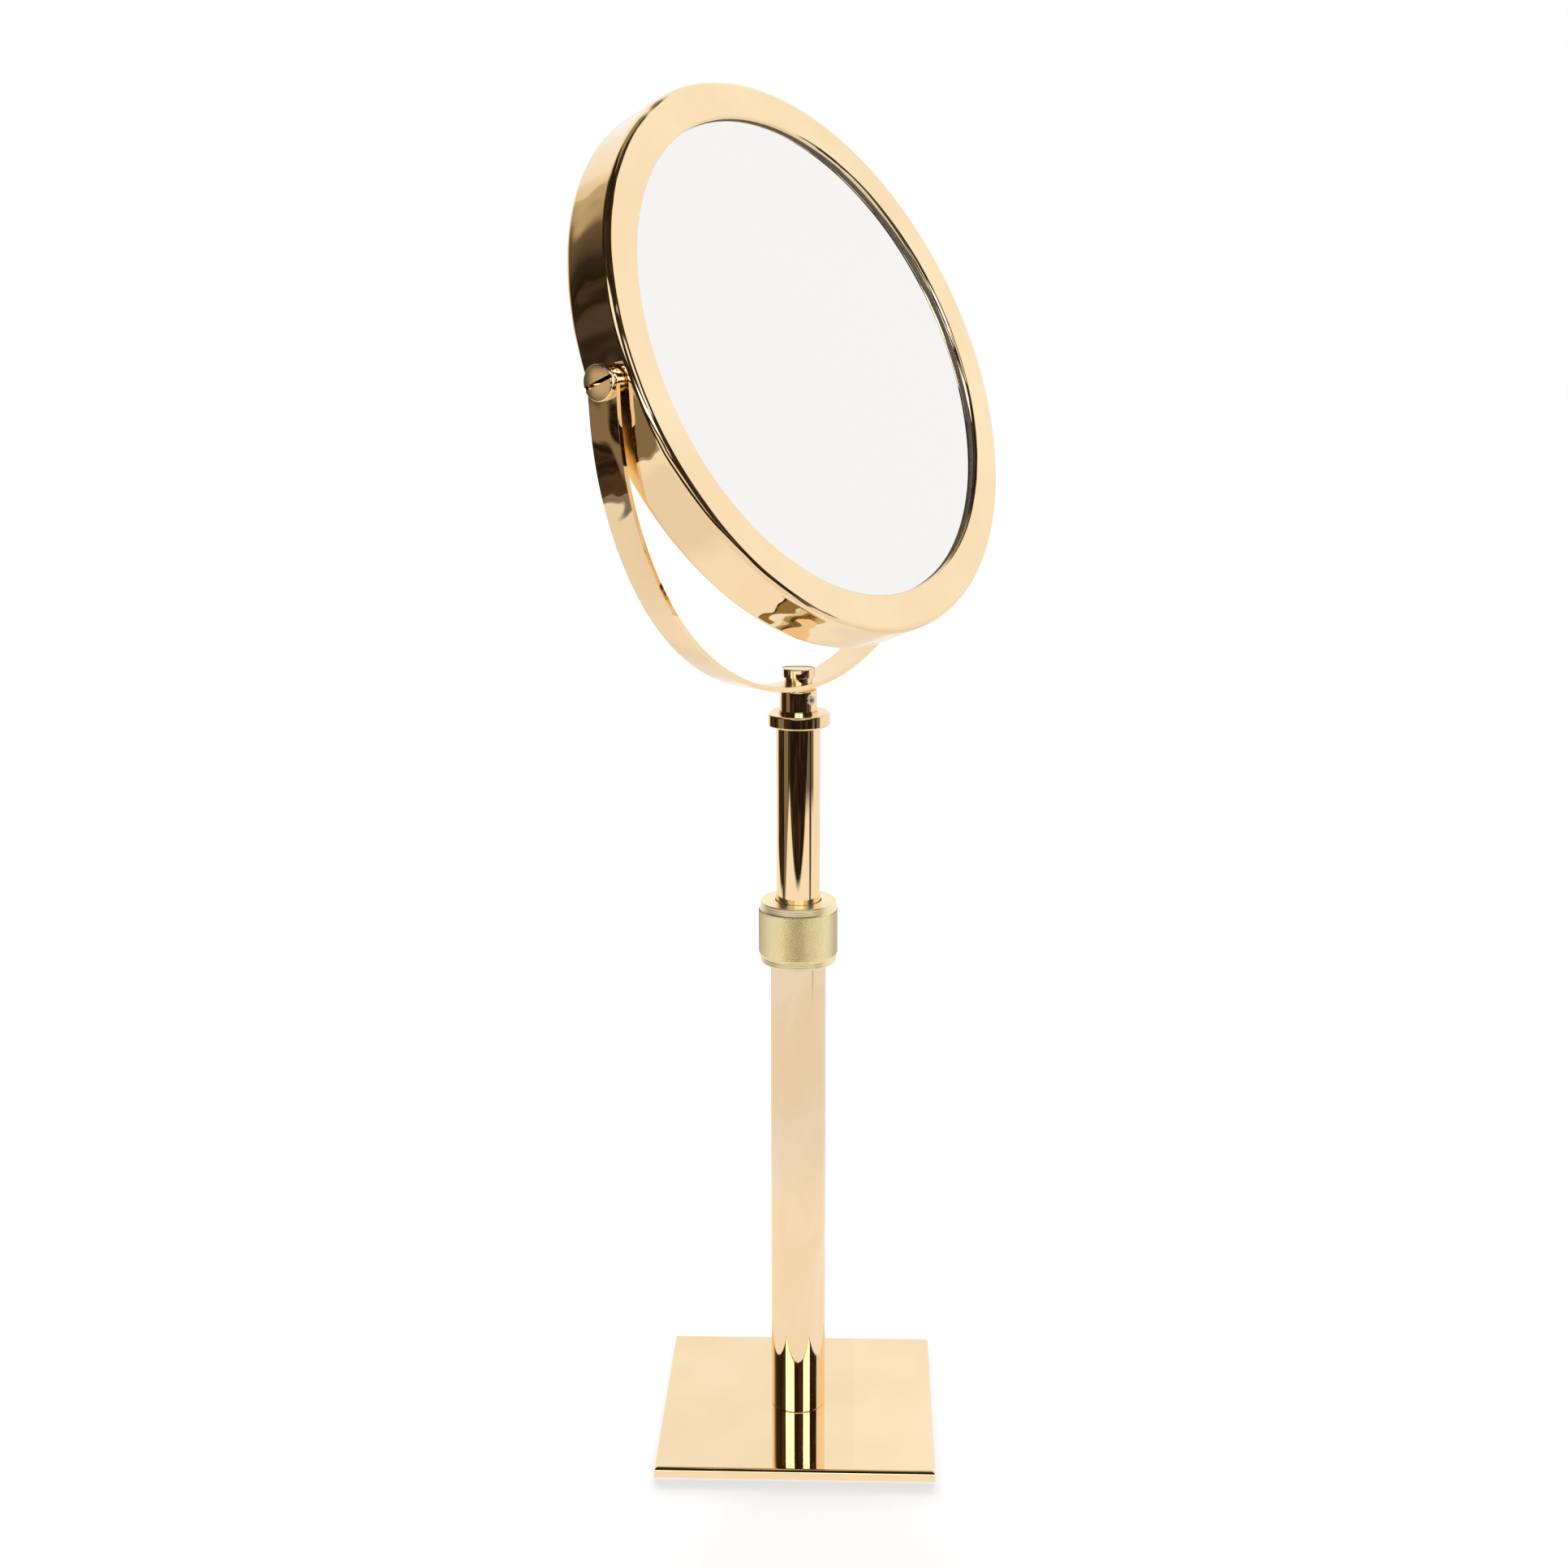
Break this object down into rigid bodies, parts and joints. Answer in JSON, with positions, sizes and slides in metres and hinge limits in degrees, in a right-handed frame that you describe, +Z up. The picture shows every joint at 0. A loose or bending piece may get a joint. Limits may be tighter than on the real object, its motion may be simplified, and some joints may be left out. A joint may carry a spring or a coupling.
{
  "type": "extendable shaving mirror",
  "caption": "Free-standing round shaving mirror in a tilting yoke on a telescopic post with a knurled clamp collar and a square base, in polished brass.",
  "frame": {"origin": "middle of the underside of the base", "axes": "+Z up along the post; the base plate's sides run along X and Y; the mirror is stored turned 55.5 degrees from facing -Y"},
  "size_m": [0.1778, 0.223, 0.6086],
  "materials": {
    "polished_brass": "polished brass",
    "satin_brass": "polished brass, slightly hazed",
    "mast_brass": "polished brass",
    "fittings_brass": "polished brass",
    "plate_brass": "polished brass",
    "knurled_brass": "fine diamond knurl between turned bands",
    "yoke_brass": "polished brass",
    "inner_brass": "as turned",
    "baize": "felted",
    "steel": "bright zinc",
    "nylon": "natural nylon",
    "mirror_glass": "silvered glass",
    "gasket": "matt",
    "hardboard": "sealed hardboard"
  },
  "bodies": {
    "stand": {"base_plate": "plate_brass", "base_pad": "baize", "base_screw": "steel", "foot_plug": "inner_brass", "post_tube": "satin_brass", "clamp_ferrule": "inner_brass", "collet": "nylon"},
    "thrust_ring": {"thrust_washer": "steel"},
    "collar": {"knurled_collar": "knurled_brass"},
    "guide": {"guide_bush": "nylon"},
    "mast": {"mast_plug": "inner_brass", "bush_circlip": "steel", "mast_tube": "mast_brass", "mast_cap": "fittings_brass", "swivel_washer": "fittings_brass"},
    "yoke": {"swivel_boss": "fittings_brass", "grub_screw": "steel", "lower_saddle": "fittings_brass", "yoke_band": "yoke_brass", "upper_saddle": "fittings_brass", "yoke_screw": "fittings_brass"},
    "mirror": {"pivot_screws": "fittings_brass", "pivot_washers": "fittings_brass", "pivot_spacers": "fittings_brass", "pivot_blocks": "inner_brass", "rim_shell": "polished_brass", "rear_bezel": "polished_brass", "front_gasket": "gasket", "front_glass": "mirror_glass", "backing_board": "hardboard", "spacer_ring": "nylon", "magnifying_glass": "mirror_glass", "rear_gasket": "gasket"}
  },
  "joints": [
    {"name": "collar_lift", "type": "slide", "parent": "stand", "child": "thrust_ring", "axis": [0, 0, 1], "range_m": [0, 0.0015]},
    {"name": "collar_turn", "type": "hinge", "parent": "thrust_ring", "child": "collar", "pos_m": [0, 0, 0.24], "axis": [0, 0, 1], "range_deg": [0, 360]},
    {"name": "mast_slide", "type": "slide", "parent": "stand", "child": "guide", "axis": [0, 0, 1], "range_m": [-0.0786, 0.09]},
    {"name": "mast_turn", "type": "hinge", "parent": "guide", "child": "mast", "pos_m": [0, 0, 0.3], "axis": [0, 0, 1], "continuous": true},
    {"name": "yoke_swivel", "type": "hinge", "parent": "mast", "child": "yoke", "pos_m": [0, 0, 0.35], "axis": [0, 0, 1], "continuous": true},
    {"name": "mirror_tilt", "type": "hinge", "parent": "yoke", "child": "mirror", "pos_m": [0, 0, 0.49206], "axis": [0.5664, 0.8241, 0], "continuous": true}
  ],
  "couplings": [
    {"joint": "collar_lift", "follows": "collar_turn", "m_per_rad": 0.00023873}
  ]
}
